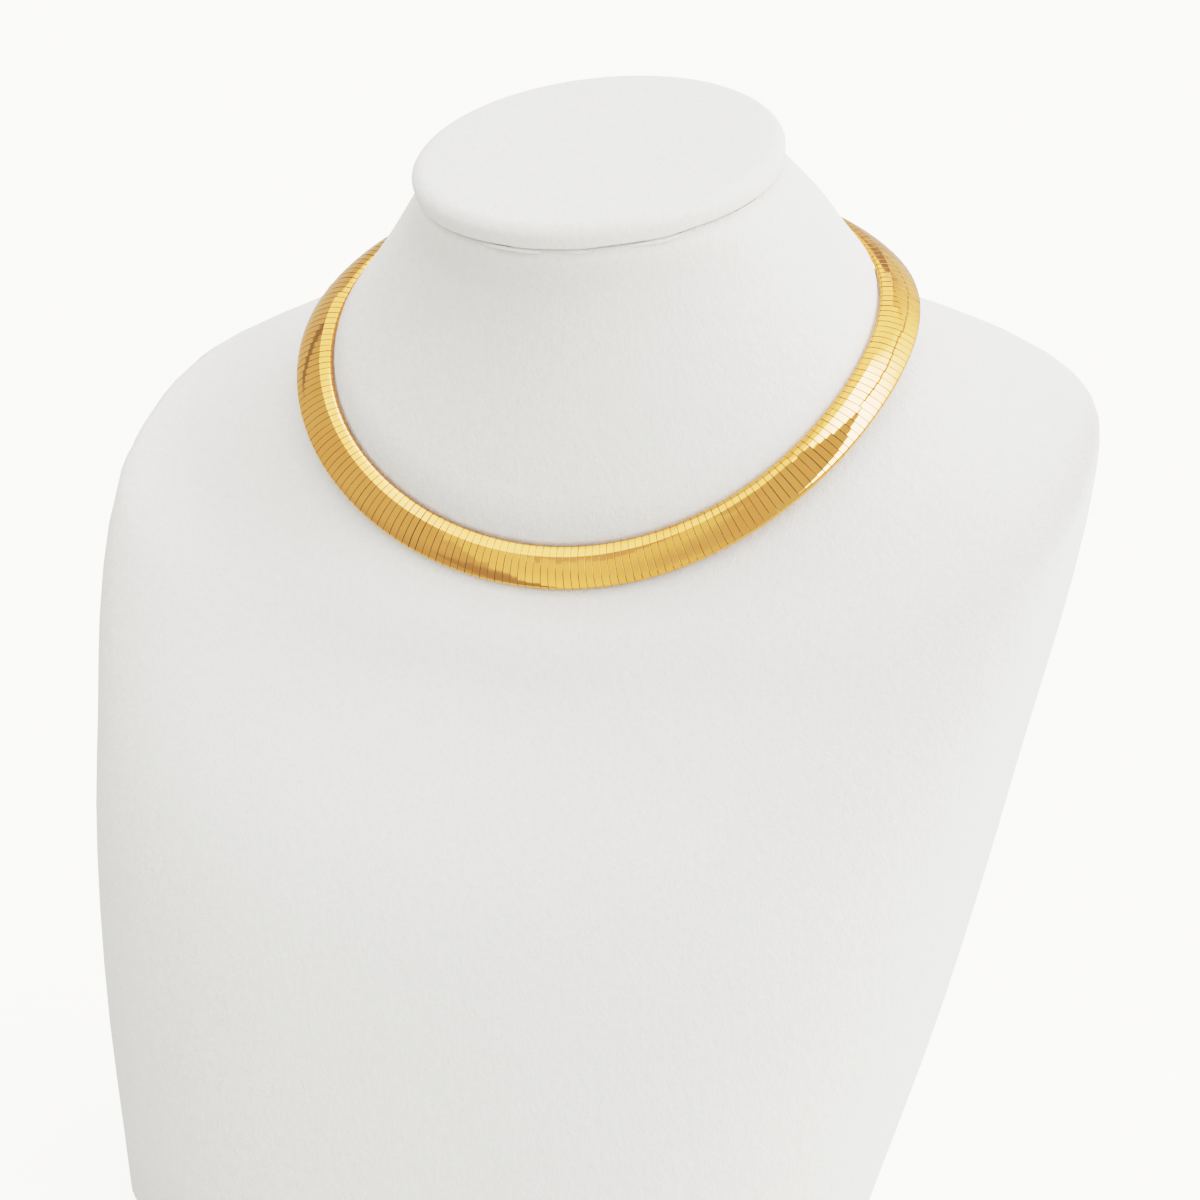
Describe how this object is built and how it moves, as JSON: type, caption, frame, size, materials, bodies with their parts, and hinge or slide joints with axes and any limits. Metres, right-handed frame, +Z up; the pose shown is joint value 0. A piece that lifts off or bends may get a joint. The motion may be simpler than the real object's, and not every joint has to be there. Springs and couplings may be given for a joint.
{
  "type": "omega necklace on neck bust",
  "caption": "Close-fitting round necklace of narrow domed plates crimped over a woven band, with a box clasp at the back, resting on a plain neck bust with a flat tilted cap.",
  "frame": {"origin": "middle of the bust's flat underside, which stands on the table", "axes": "+Z up, -Y towards the front of the chest, +X to the side; the part is alike on both sides of X = 0"},
  "size_m": [0.2324, 0.1874, 0.2415],
  "materials": {
    "polished_gold": "mirror-polished yellow gold",
    "woven_gold": "woven gold wire mesh",
    "clasp_gold": "polished yellow gold",
    "bust_cover": "smooth white leatherette with a very fine grain",
    "cap_cover": "smooth white leatherette with a very fine grain"
  },
  "bodies": {
    "root": {"plates": "polished_gold", "core_band": "woven_gold", "box_clasp": "clasp_gold", "neck_bust": "bust_cover", "bust_cap": "cap_cover"}
  },
  "joints": []
}
